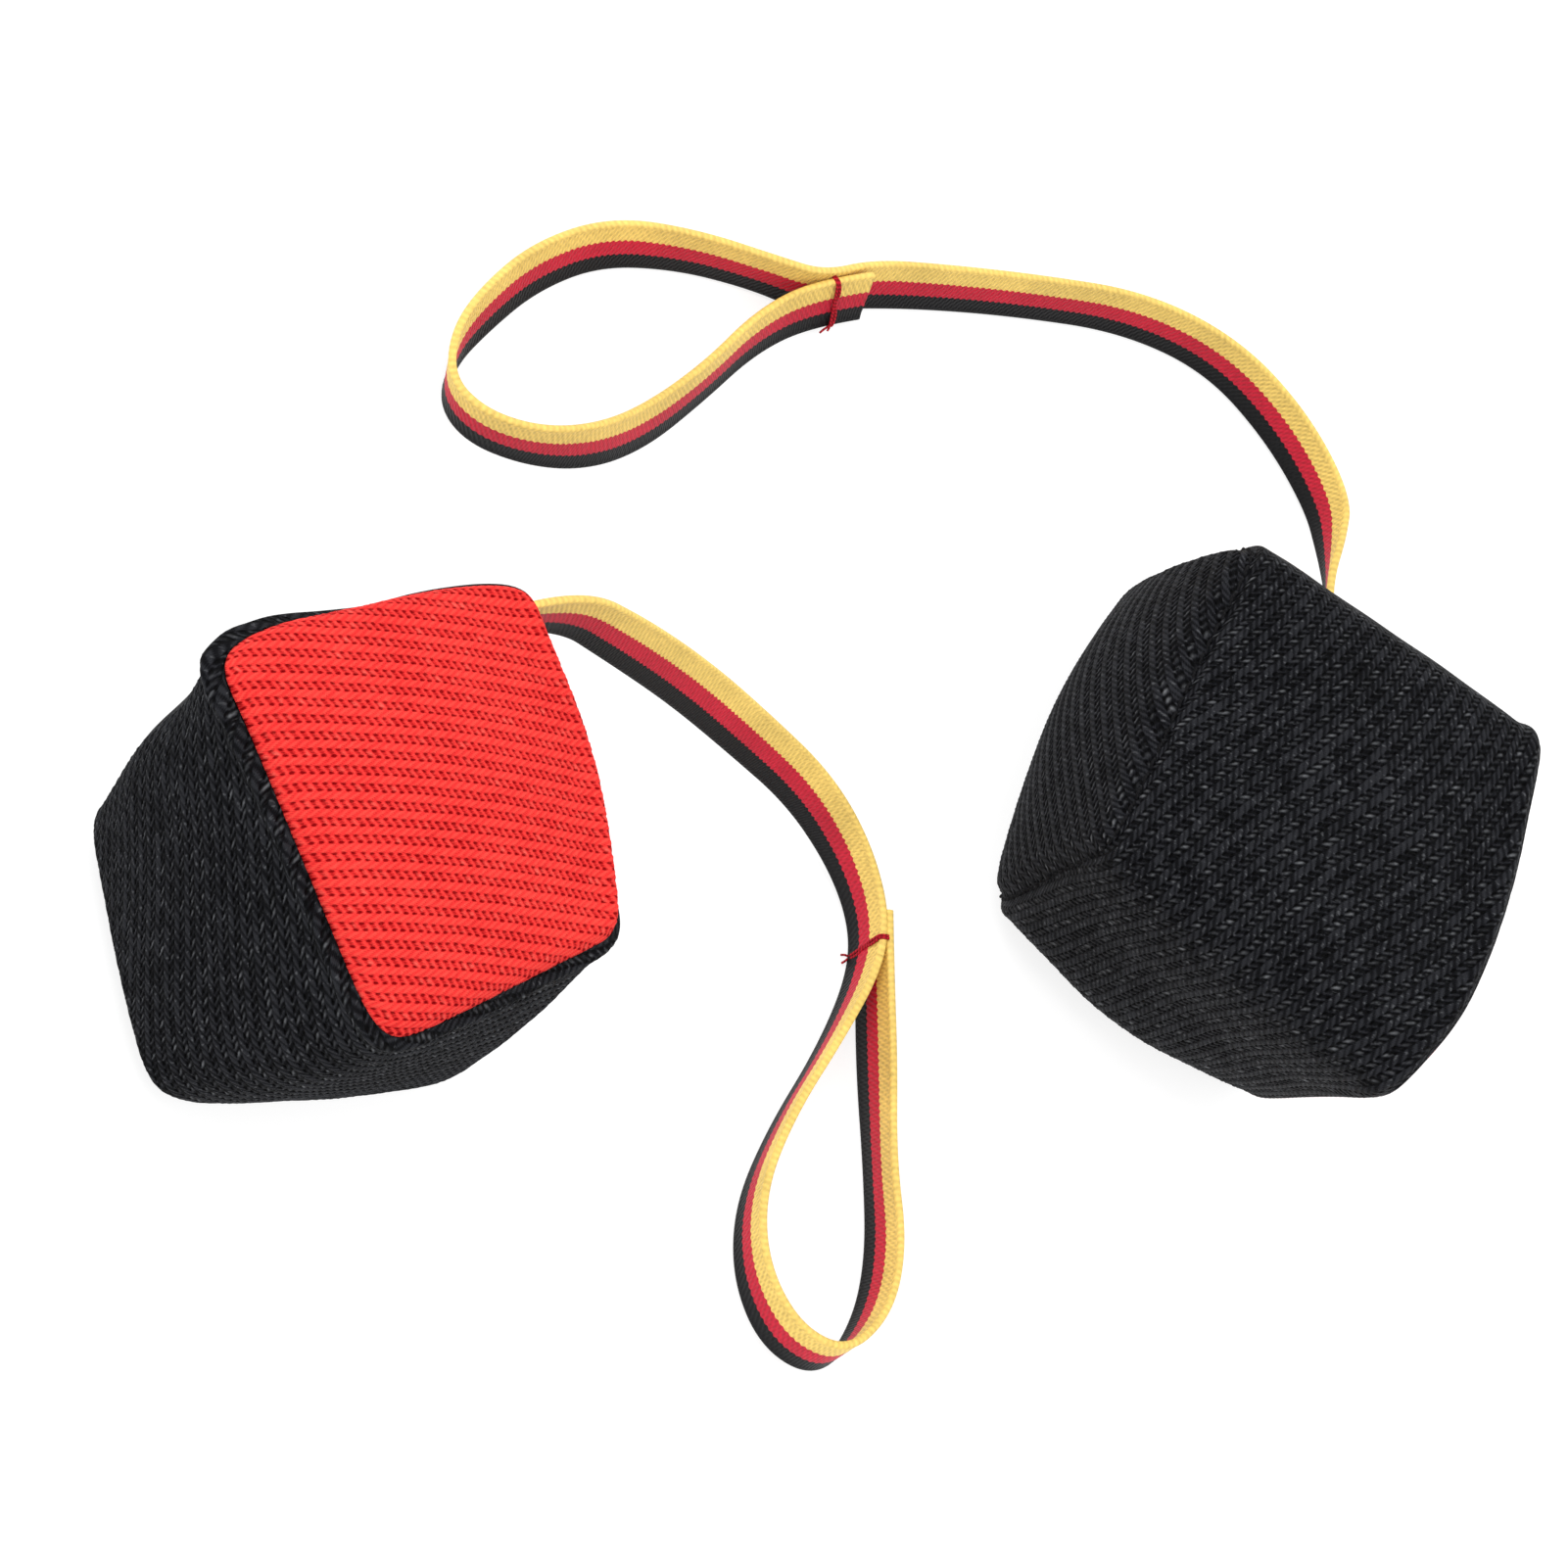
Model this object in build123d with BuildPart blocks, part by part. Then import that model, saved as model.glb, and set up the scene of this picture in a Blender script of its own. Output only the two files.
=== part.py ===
"""A pair of swing bags (poi): two filled cloth cubes, each on a flat ribbon that ends in a hand loop.

Both bags rest on the floor, z = 0. The origin is on the floor, midway along the two bags, and +X runs
from bag A to bag B. A bag's own frame has its middle at the origin and its red cap at +Z. Its strip of
cloth goes round the other four sides and is closed along the edge between +X and +Y. The ribbon is sewn
into the corner of the red cap that this edge ends in. Bag A stands with its red cap up. Bag B lies on the
side that is +X in its own frame.
"""

import os
from math import cos, radians, sin, sqrt, tan

from build123d import *

# Bags, in millimetres
BAG = 60.0  # across two opposite crowned faces
CROWN_RADIUS = 250.0  # how round a filled face is
REST_HEIGHT = 27.0  # from the flattened underside up to the bag's middle
CLOTH = 1.4
SEAM_GAP = 0.8  # between two panels, where their edges turn in and the seam's thread runs
THREAD_DEPTH = 0.4  # the thread lies this far below the cloth's face
FILLING_CLEARANCE = 0.2
SPAN = 255.0  # over both bags
YAW_A = 9.0
YAW_B = -40.0

# Ribbons, in millimetres
RIBBON_WIDTH = 10.0
RIBBON_THICK = 1.2
RIBBON_LIFT = 0.8  # the lower edge's height, which leaves room for the tack's thread under it
LOW = RIBBON_LIFT + RIBBON_WIDTH / 2  # the ribbon's middle line where it stands on the floor
ARC_SHARE = 0.45  # share of the shorter run that an arc takes
THREAD = 0.6
TACK_BACK = 4.0  # from the fold back to the tack
TACK_SPREAD = 4.6  # across both strands, over the tack's inside

# A hinge's fixed side ends in a disc about the hinge line, and the moving side starts around it
HINGE_RADIUS = 6.0
HINGE_GAP = 0.3
HINGE_REACH = 60.0

# Bag A's ribbon seen from above, from inside the bag's corner to just past the fold
TETHER_A = [
    (-76.5, 30.9),
    (-59.5, 35.0),
    (-42.0, 32.8),
    (-25.0, 28.0),
    (-8.0, 21.8),
    (9.0, 13.5),
    (19.5, 3.0),
    (20.8, -8.0),
    (19.0, -17.0),
    (12.0, -26.0),
]
# The same stretch seen from the side, as x and z
DESCENT_A = [
    (-85.0, 50.5),
    (-61.0, 50.0),
    (-42.0, 40.5),
    (-25.0, 31.0),
    (-8.0, 21.0),
    (7.0, 12.0),
    (17.5, LOW),
    (34.0, LOW),
]
# From just before the fold, round the hand loop and back past the fold to the cut end
LOOP_A = [
    (20.8, -8.0),
    (19.0, -17.0),
    (9.5, -28.0),
    (-4.5, -40.5),
    (-14.2, -53.5),
    (-16.2, -66.5),
    (-11.7, -77.5),
    (-1.0, -82.0),
    (9.5, -77.5),
    (14.2, -66.5),
    (15.0, -50.0),
    (18.2, -33.0),
    (21.4, -18.5),
    (24.5, -7.5),
]

# Bag B's ribbon stands on the floor all the way
TETHER_B = [
    (122.5, 2.8),
    (135.0, 4.3),
    (145.5, 11.5),
    (148.0, 24.0),
    (143.5, 37.0),
    (138.0, 50.0),
    (137.5, 62.5),
    (132.5, 76.0),
    (121.0, 88.5),
    (103.0, 97.5),
    (80.0, 100.8),
    (62.0, 102.8),
    (47.0, 102.6),
    (33.5, 102.0),
    (24.0, 104.8),
]
LOOP_B = [
    (44.0, 102.8),
    (33.5, 102.0),
    (23.5, 104.8),
    (9.0, 109.6),
    (-7.0, 112.0),
    (-22.0, 108.0),
    (-35.0, 100.0),
    (-43.0, 93.0),
    (-46.8, 85.0),
    (-44.5, 77.5),
    (-36.0, 73.0),
    (-21.0, 73.4),
    (-6.0, 77.6),
    (8.0, 85.4),
    (21.0, 94.2),
    (33.5, 99.4),
    (44.2, 100.2),
]

# Hinge lines cross the ribbon at these points, square to these headings
ROOT_A = Plane((-64.5, 33.8, 50.0), x_dir=(0.97, 0.24, 0), z_dir=(0, 0, 1))
FOLD_A = Plane((20.2, -17.0, LOW), x_dir=(-0.15, -0.99, 0), z_dir=(0, 0, 1))
ROOT_B = Plane((146.75, 17.75, LOW), x_dir=(0.2, 0.98, 0), z_dir=(0, 0, 1))
FOLD_B = Plane((33.5, 100.7, LOW), x_dir=(-1, 0, 0), z_dir=(0, 0, 1))


def swollen_cube(inset):
    """A cube with crowned faces, where six large balls meet, cut flat where it rests."""
    reach = CROWN_RADIUS - BAG / 2
    with BuildPart() as cube:
        Box(BAG, BAG, BAG)
        for way in ((1, 0, 0), (-1, 0, 0), (0, 1, 0), (0, -1, 0), (0, 0, 1), (0, 0, -1)):
            with Locations(Vector(way) * reach):
                Sphere(CROWN_RADIUS - inset, mode=Mode.INTERSECT)
        with Locations((0, 0, inset - REST_HEIGHT)):
            Box(BAG, BAG, BAG, align=(Align.CENTER, Align.CENTER, Align.MIN), mode=Mode.INTERSECT)
    return cube.part


def over_cap(side, slack):
    """The pyramid over the red cap (side 1) or the black cap (side -1), its mitres moved out by slack."""
    tip = -slack * sqrt(2)
    with BuildPart() as pyramid:
        with Locations((0, 0, side * (tip + BAG / sqrt(2)))):
            Box(3 * BAG, BAG, BAG, rotation=(45, 0, 0))
            Box(BAG, 3 * BAG, BAG, rotation=(0, 45, 0), mode=Mode.INTERSECT)
    return pyramid.part


def closing_slab():
    """The thin slab, along the edge between +X and +Y, that the strip's closing seam lies in."""
    with BuildPart(Plane.XY.rotated((0, 0, 45))) as slab:
        Box(BAG, SEAM_GAP, 3 * BAG, align=(Align.MIN, Align.CENTER, Align.CENTER))
    return slab.part


def bag(lying):
    """The bag's solids by name, turned by lying from the bag's own frame and cut flat underneath."""
    outside = swollen_cube(0)
    thread_face = swollen_cube(THREAD_DEPTH)
    inside = swollen_cube(CLOTH)
    slab = lying * closing_slab()
    solids = {}
    for colour, side in (("red", 1), ("black", -1)):
        under_seam = lying * over_cap(side, -SEAM_GAP / 2)
        to_strip = lying * over_cap(side, SEAM_GAP / 2)
        with BuildPart() as cap:
            add(outside)
            add(inside, mode=Mode.SUBTRACT)
            add(under_seam, mode=Mode.INTERSECT)
        solids[f"cap_{colour}"] = cap.part
        with BuildPart() as seam:
            add(thread_face)
            add(inside, mode=Mode.SUBTRACT)
            add(to_strip, mode=Mode.INTERSECT)
            add(under_seam, mode=Mode.SUBTRACT)
        solids[f"seam_{colour}"] = seam.part
    with BuildPart() as strip:
        add(outside)
        add(inside, mode=Mode.SUBTRACT)
        for side in (1, -1):
            add(lying * over_cap(side, SEAM_GAP / 2), mode=Mode.SUBTRACT)
        add(slab, mode=Mode.SUBTRACT)
    solids["strip"] = strip.part
    with BuildPart() as seam_strip:
        add(thread_face)
        add(inside, mode=Mode.SUBTRACT)
        add(slab, mode=Mode.INTERSECT)
        for side in (1, -1):
            add(lying * over_cap(side, SEAM_GAP / 2), mode=Mode.SUBTRACT)
    solids["seam_strip"] = seam_strip.part
    with BuildPart() as filling:
        add(swollen_cube(CLOTH + FILLING_CLEARANCE))
    solids["filling"] = filling.part
    return solids


def radii(points):
    """Each corner's arc: as large as its two runs allow."""
    found = []
    for before, here, after in zip(points, points[1:], points[2:]):
        arriving = Vector(*here) - Vector(*before)
        leaving = Vector(*after) - Vector(*here)
        shorter = min(arriving.length, leaving.length)
        found.append(ARC_SHARE * shorter / tan(radians(arriving.get_angle(leaving)) / 2))
    return found


def standing_ribbon(points, name):
    """A ribbon that stands on its edge over the floor, along runs joined by tangent arcs."""
    print(name, "radii", [round(r, 1) for r in radii(points)])
    with BuildPart() as ribbon:
        with BuildSketch(Plane.XY.offset(RIBBON_LIFT)):
            with BuildLine() as route:
                FilletPolyline(*points, radius=radii(points))
            trace(line_width=RIBBON_THICK)
        extrude(amount=RIBBON_WIDTH)
    length = sum(edge.length for edge in route.edges())
    share = ribbon.part.volume / (length * RIBBON_WIDTH * RIBBON_THICK)
    print(name, "length", round(length, 1), "volume over section times length", round(share, 4))
    return ribbon.part


def descending_ribbon(points, descent, name):
    """A ribbon that comes down to the floor: upright everywhere, with its side view cut to the descent."""
    print(name, "radii", [round(r, 1) for r in radii(points)], [round(r, 1) for r in radii(descent)])
    with BuildPart() as ribbon:
        with BuildSketch():
            with BuildLine() as route:
                FilletPolyline(*points, radius=radii(points))
            trace(line_width=RIBBON_THICK)
        extrude(amount=BAG + RIBBON_WIDTH)
        with BuildSketch(Plane.XZ.offset(-2 * BAG)):
            with BuildLine():
                FilletPolyline(*descent, radius=radii(descent))
            trace(line_width=RIBBON_WIDTH)
        extrude(amount=4 * BAG, mode=Mode.INTERSECT)
    along = sum(edge.length for edge in route.edges())
    drop = descent[0][1] - descent[-1][1]
    length = sqrt(along**2 + drop**2)
    share = ribbon.part.volume / (length * RIBBON_WIDTH * RIBBON_THICK)
    print(name, "length", round(length, 1), "volume over section times length", round(share, 4))
    return ribbon.part


def fixed_side(pin, slack):
    """What belongs to a hinge's fixed side: a block behind the hinge line and a disc about it."""
    with BuildPart(pin) as space:
        Box(HINGE_REACH, HINGE_REACH, HINGE_REACH, align=(Align.MAX, Align.CENTER, Align.CENTER))
        Cylinder(HINGE_RADIUS - slack, HINGE_REACH, rotation=(90, 0, 0))
    return space.part


def past_fold(pin):
    """What lies ahead of a hinge line, outside the fixed side's disc."""
    with BuildPart(pin) as space:
        Box(HINGE_REACH, HINGE_REACH, HINGE_REACH, align=(Align.MIN, Align.CENTER, Align.CENTER))
        Cylinder(HINGE_RADIUS - HINGE_GAP, HINGE_REACH, rotation=(90, 0, 0), mode=Mode.SUBTRACT)
    return space.part


def ribbon_pieces(tether_band, loop_band, root, fold, cut_end):
    """One ribbon parted at its two hinge lines."""
    pieces = {}
    with BuildPart() as anchor:
        add(tether_band)
        add(fixed_side(root, HINGE_GAP), mode=Mode.INTERSECT)
    pieces["anchor"] = anchor.part
    with BuildPart() as tether:
        add(tether_band)
        add(fixed_side(root, 0), mode=Mode.SUBTRACT)
        add(past_fold(fold), mode=Mode.SUBTRACT)
    pieces["tether"] = tether.part
    with BuildPart() as loop:
        add(loop_band)
        add(fixed_side(fold, 0), mode=Mode.SUBTRACT)
    pieces["loop"] = loop.part
    with BuildPart() as both_ends:
        add(loop_band)
        add(fixed_side(fold, HINGE_GAP), mode=Mode.INTERSECT)
    tip = Vector(cut_end[0], cut_end[1], LOW)
    with BuildPart() as ribbon_end:
        add(both_ends.part.solids().sort_by_distance(tip)[0])
    pieces["ribbon_end"] = ribbon_end.part
    across = Plane(fold.origin - fold.x_dir * TACK_BACK, x_dir=fold.y_dir, z_dir=fold.x_dir)
    with BuildPart() as tack:
        with BuildSketch(across):
            Rectangle(TACK_SPREAD + 2 * THREAD, RIBBON_WIDTH + 2 * THREAD)
            Rectangle(TACK_SPREAD, RIBBON_WIDTH, mode=Mode.SUBTRACT)
        extrude(amount=THREAD / 2, both=True)
    pieces["tack"] = tack.part
    return pieces


def reach_along_x(yaw):
    """How far a bag turned by yaw reaches from its middle along X, at its furthest upright edge."""
    past = CROWN_RADIUS - BAG / 2
    edge = (sqrt(2 * CROWN_RADIUS**2 - past**2) - past) / 2
    turns = [radians(yaw + 45 + 90 * quarter) for quarter in range(4)]
    return edge * sqrt(2) * max(cos(turn) for turn in turns)


os.makedirs("parts", exist_ok=True)
reach_a = reach_along_x(YAW_A)
reach_b = reach_along_x(YAW_B)
PLACE_A = Pos(-SPAN / 2 + reach_a, 0, REST_HEIGHT) * Rot(0, 0, YAW_A)
PLACE_B = Pos(SPAN / 2 - reach_b, 0, REST_HEIGHT) * Rot(0, 0, YAW_B)
print("bag middles", PLACE_A.position, PLACE_B.position)

RIBBON_A = ribbon_pieces(
    descending_ribbon(TETHER_A, DESCENT_A, "tether a"),
    standing_ribbon(LOOP_A, "loop a"),
    ROOT_A,
    FOLD_A,
    LOOP_A[-1],
)
RIBBON_B = ribbon_pieces(
    standing_ribbon(TETHER_B, "tether b"),
    standing_ribbon(LOOP_B, "loop b"),
    ROOT_B,
    FOLD_B,
    LOOP_B[-1],
)

for letter, place, lying, ribbon in (
    ("a", PLACE_A, Rot(0, 0, 0), RIBBON_A),
    ("b", PLACE_B, Rot(0, 90, 0), RIBBON_B),
):
    for name, solid in bag(lying).items():
        with BuildPart() as piece:
            add(place * solid)
        piece.part.label = f"{name}_{letter}"
        export_step(piece.part, f"parts/{name}_{letter}.step")
    for name, solid in ribbon.items():
        with BuildPart() as piece:
            add(solid)
        piece.part.label = f"{name}_{letter}"
        export_step(piece.part, f"parts/{name}_{letter}.step")
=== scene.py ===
"""Looks for a pair of swing bags: two filled cloth cubes on flat striped ribbons that end in hand loops."""

import math

import bpy
import numpy as np
from mathutils import Matrix, Vector


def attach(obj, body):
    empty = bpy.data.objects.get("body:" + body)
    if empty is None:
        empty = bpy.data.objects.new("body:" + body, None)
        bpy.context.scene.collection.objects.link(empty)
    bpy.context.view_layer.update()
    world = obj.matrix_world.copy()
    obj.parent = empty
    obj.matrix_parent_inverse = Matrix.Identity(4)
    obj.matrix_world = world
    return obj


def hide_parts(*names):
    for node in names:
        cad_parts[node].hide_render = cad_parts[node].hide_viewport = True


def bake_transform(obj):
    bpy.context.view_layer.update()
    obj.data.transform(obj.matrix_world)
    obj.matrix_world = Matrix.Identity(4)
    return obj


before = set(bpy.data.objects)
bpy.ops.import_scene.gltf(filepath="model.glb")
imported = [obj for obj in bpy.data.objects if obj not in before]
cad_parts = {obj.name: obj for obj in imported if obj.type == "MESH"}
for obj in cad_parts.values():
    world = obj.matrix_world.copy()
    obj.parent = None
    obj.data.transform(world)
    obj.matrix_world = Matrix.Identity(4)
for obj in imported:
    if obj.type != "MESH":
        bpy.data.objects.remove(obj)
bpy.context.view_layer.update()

# Shapes are worked out in mm, and made in metres
MM = 0.001
TAU = 2 * math.pi
WHITE = (1, 1, 1, 1)
DENSITY = 1.0


# ---------------------------------------------------------------- camera, floor and light
def show(name, data):
    """A new object in the scene, from a mesh, a camera or a light."""
    thing = bpy.data.objects.new(name, data)
    bpy.context.scene.collection.objects.link(thing)
    return thing


def make_camera():
    """A long lens, from high on the -X side, with +Y up the picture."""
    data = bpy.data.cameras.new("camera")
    data.lens = 212.5
    data.sensor_width = 36
    data.clip_end = 20
    right = Vector((0.80495, -0.17531, 0.56685))
    up = Vector((0.04151, 0.96965, 0.24094))
    turned = Matrix((right, up, right.cross(up))).transposed().to_4x4()
    camera = show("camera", data)
    camera.matrix_world = Matrix.Translation((-0.9097, -0.2488, 1.228)) @ turned
    bpy.context.scene.camera = camera


def make_floor():
    """A wide pale floor that glows, which keeps it white and its shadows faint."""
    reach = 4
    corners = [(-reach, -reach, 0), (reach, -reach, 0), (reach, reach, 0), (-reach, reach, 0)]
    mesh = bpy.data.meshes.new("floor")
    mesh.from_pydata(corners, [], [(0, 1, 2, 3)])
    material = bpy.data.materials.new("floor_paint")
    material.use_nodes = True
    shader = material.node_tree.nodes["Principled BSDF"]
    shader.inputs["Base Color"].default_value = (0.3, 0.3, 0.3, 1)
    shader.inputs["Roughness"].default_value = 0.9
    shader.inputs["Emission Color"].default_value = WHITE
    shader.inputs["Emission Strength"].default_value = 0.8
    mesh.materials.append(material)
    show("floor", mesh)


def make_lamp(name, place, power, size):
    """A soft square lamp that faces the frame's origin."""
    light = bpy.data.lights.new(name, "AREA")
    light.energy = power
    light.size = size
    lamp = show(name, light)
    lamp.location = place
    lamp.rotation_euler = (-Vector(place)).to_track_quat("-Z", "Y").to_euler()


def make_studio():
    """White surroundings, with a stronger lamp at the back left and a weaker one at the front right."""
    world = bpy.data.worlds.new("studio")
    world.use_nodes = True
    world.node_tree.nodes["Background"].inputs["Color"].default_value = WHITE
    world.node_tree.nodes["Background"].inputs["Strength"].default_value = 1.0
    bpy.context.scene.world = world
    bpy.context.scene.view_settings.view_transform = "Standard"
    make_lamp("key", (-0.75, 0.75, 1.3), power=11.0, size=0.8)
    make_lamp("fill", (0.9, -0.6, 1.2), power=4.0, size=1.2)


# ---------------------------------------------------------------- mesh helpers
def new_object(name, points, faces, marks, material):
    """A smooth mesh in metres from points in mm, with one material and its float marks.

    Mark s is how far a point is along the cloth, ribbon or thread, and mark t how far across or around it.
    """
    mesh = bpy.data.meshes.new(name)
    mesh.from_pydata((np.asarray(points) * MM).tolist(), [], faces)
    for key, values in marks.items():
        mark = mesh.attributes.new(key, "FLOAT", "POINT")
        mark.data.foreach_set("value", np.asarray(values, np.float32).ravel())
    mesh.polygons.foreach_set("use_smooth", np.ones(len(mesh.polygons), bool))
    mesh.materials.append(material)
    mesh.update()
    return show(name, mesh)


def grid_faces(rows, columns, around=False):
    """Quads of a grid of rows by columns, closed across the columns if around."""
    number = np.arange(rows * columns).reshape(rows, columns)
    if around:
        number = np.hstack([number, number[:, :1]])
    low, high = number[:-1], number[1:]
    return np.stack([low[:, :-1], low[:, 1:], high[:, 1:], high[:, :-1]], -1).reshape(-1, 4).tolist()


def tube_faces(rows, columns):
    """Faces of a grid that closes across its columns, with one face over each open end."""
    first = list(range(columns))
    last = list(range((rows - 1) * columns, rows * columns))
    return [*grid_faces(rows, columns, around=True), first[::-1], last]


def unit(vectors):
    """The vectors' directions, each one long."""
    return vectors / np.maximum(np.linalg.norm(vectors, axis=-1, keepdims=True), 1e-9)


def walked(line):
    """How far each point of a line is from the line's start."""
    return np.concatenate([[0], np.cumsum(np.linalg.norm(np.diff(line, axis=0), axis=1))])


def smooth_step(x):
    """Zero up to 0, one from 1, and smooth between them."""
    x = np.clip(x, 0, 1)
    return x * x * (3 - 2 * x)


def bell(distance, width):
    """One in the middle, falling away smoothly over the width."""
    return np.exp(-((distance / width) ** 2))


def wave(phase, low, high):
    """Cosine of phase turns, scaled to run from low to high."""
    return (high - low) / 2 * np.cos(TAU * phase) + (high + low) / 2


# ---------------------------------------------------------------- materials
class Nodes:
    """Short words for a material's node tree."""

    def __init__(self, name):
        self.material = bpy.data.materials.new(name)
        self.material.use_nodes = True
        self.tree = self.material.node_tree

    def put(self, socket, value):
        """Links a socket to another node's output, or sets it to a number or colour."""
        if isinstance(value, bpy.types.NodeSocket):
            self.tree.links.new(value, socket)
        else:
            socket.default_value = value

    def calc(self, word, *values):
        """The result of one math operation, by Blender's name for it."""
        node = self.tree.nodes.new("ShaderNodeMath")
        node.operation = word
        for socket, value in zip(node.inputs, values):
            self.put(socket, value)
        return node.outputs[0]

    def mark(self, name):
        """The mesh's float mark of that name."""
        node = self.tree.nodes.new("ShaderNodeAttribute")
        node.attribute_name = name
        return node.outputs["Fac"]

    def place(self):
        """The point's own place, in metres."""
        return self.tree.nodes.new("ShaderNodeTexCoord").outputs["Object"]

    def noise(self, scale, detail, vector=None):
        """Smooth random values around 0.5, over the point's own place or over another vector."""
        node = self.tree.nodes.new("ShaderNodeTexNoise")
        node.inputs["Scale"].default_value = scale
        node.inputs["Detail"].default_value = detail
        self.tree.links.new(vector or self.place(), node.inputs["Vector"])
        return node.outputs["Fac"]

    def chance(self, x, y):
        """A random value from 0 to 1 for each whole step of x and y."""
        node = self.tree.nodes.new("ShaderNodeTexWhiteNoise")
        node.noise_dimensions = "2D"
        steps = self.join(self.calc("FLOOR", x), self.calc("FLOOR", y))
        self.tree.links.new(steps, node.inputs["Vector"])
        return node.outputs["Value"]

    def stray(self, base, random, amount):
        """The base, moved by up to half the amount either way as a random value runs from 0 to 1."""
        return self.calc("MULTIPLY_ADD", self.calc("SUBTRACT", random, 0.5), amount, base)

    def clamp(self, value):
        """The value, kept from 0 to 1."""
        return self.calc("MINIMUM", self.calc("MAXIMUM", value, 0.0), 1.0)

    def join(self, x, y, z=0.0):
        """A vector or a colour from its parts."""
        node = self.tree.nodes.new("ShaderNodeCombineXYZ")
        for socket, value in zip(node.inputs, (x, y, z)):
            self.put(socket, value)
        return node.outputs[0]

    def wave(self, phase, low=0.0, high=1.0):
        """Cosine of phase turns, scaled to run from low to high."""
        turn = self.calc("COSINE", self.calc("MULTIPLY", phase, TAU))
        return self.calc("MULTIPLY_ADD", turn, (high - low) / 2, (high + low) / 2)

    def bell(self, distance, width):
        """One in the middle, falling away smoothly over the width."""
        part = self.calc("DIVIDE", distance, width)
        return self.calc("EXPONENT", self.calc("MULTIPLY", self.calc("MULTIPLY", part, part), -1.0))

    def ramp(self, value, stops, mode="LINEAR"):
        """A colour for each value, from stops that are each a value and a colour."""
        node = self.tree.nodes.new("ShaderNodeValToRGB")
        node.color_ramp.interpolation = mode
        while len(node.color_ramp.elements) < len(stops):
            node.color_ramp.elements.new(0.5)
        for element, (place, colour) in zip(node.color_ramp.elements, stops):
            element.position = place
            element.color = (*colour, 1)
        self.put(node.inputs[0], value)
        return node.outputs[0]

    def mix(self, share, first, second, mode="MIX"):
        """Two colours mixed. A colour mix has its colours at inputs 6 and 7, and its result at output 2."""
        node = self.tree.nodes.new("ShaderNodeMix")
        node.data_type = "RGBA"
        node.blend_type = mode
        self.put(node.inputs[0], share)
        self.put(node.inputs[6], first)
        self.put(node.inputs[7], second)
        return node.outputs[2]

    def surface(self, colour, roughness, specular, height, depth):
        """The finished material: its colour, its gloss, and a bump whose depth is in metres."""
        shader = self.tree.nodes["Principled BSDF"]
        self.put(shader.inputs["Base Color"], colour)
        shader.inputs["Roughness"].default_value = roughness
        shader.inputs["Specular IOR Level"].default_value = specular
        bump = self.tree.nodes.new("ShaderNodeBump")
        bump.inputs["Strength"].default_value = 1.0
        bump.inputs["Distance"].default_value = depth
        self.put(bump.inputs["Height"], height)
        self.tree.links.new(bump.outputs[0], shader.inputs["Normal"])
        return self.material


# The cloth's rib. A row has broad slanting floats, and a line of short crossings between two lines of pits.
ROW = 2.7  # from one row to the next, in mm
STITCH = 1.5  # from one crossing to the next along a row, in mm
SHIFT = 0.73  # how far, in stitches, the crossings step aside from one row to the next
FLOAT_SHIFT = SHIFT - 3  # the same for the floats
KNOTS = 0.19  # where in a row its crossings are
KNOT_SPREAD = 0.11  # half the width of the line of crossings, in rows
PIT_SPREAD = 0.075  # half the width of a line of pits, in rows
PIT_LAG = 2.2 / TAU  # how far, in stitches, the pits are from the crossings
# Heights and depths, as shares of the rib's whole relief
FLOAT_LEVEL = 0.84  # a float's middle height
FLOAT_SWAY = 0.16  # how far a float rises and falls about it
PIT_SHALLOW = 0.075  # the least depth in a line of pits
PIT_DEEP = 0.75  # the greatest depth in it
KNOT_DIP = 0.45  # how far the line of crossings dips between two of them


def weave_height(along, across):
    """The rib's height, up to 1 on a float's top, at places in mm along and across the rows."""
    rows = across / ROW
    row = rows - np.floor(rows)
    bead = along / STITCH + SHIFT * rows
    slant = along / STITCH + FLOAT_SHIFT * rows
    knots = bell(row - KNOTS, KNOT_SPREAD)
    low = bell(0.5 - np.abs(row - 0.5), PIT_SPREAD)
    high = bell(row - 2 * KNOTS, PIT_SPREAD)
    floats = FLOAT_LEVEL + wave(slant, -FLOAT_SWAY, FLOAT_SWAY) * (1 - knots)
    pits = low * wave(bead + PIT_LAG, PIT_SHALLOW, PIT_DEEP)
    pits = pits + high * wave(bead - PIT_LAG, PIT_SHALLOW, PIT_DEEP)
    return floats - pits - knots * wave(bead, KNOT_DIP, 0.0)


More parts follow.
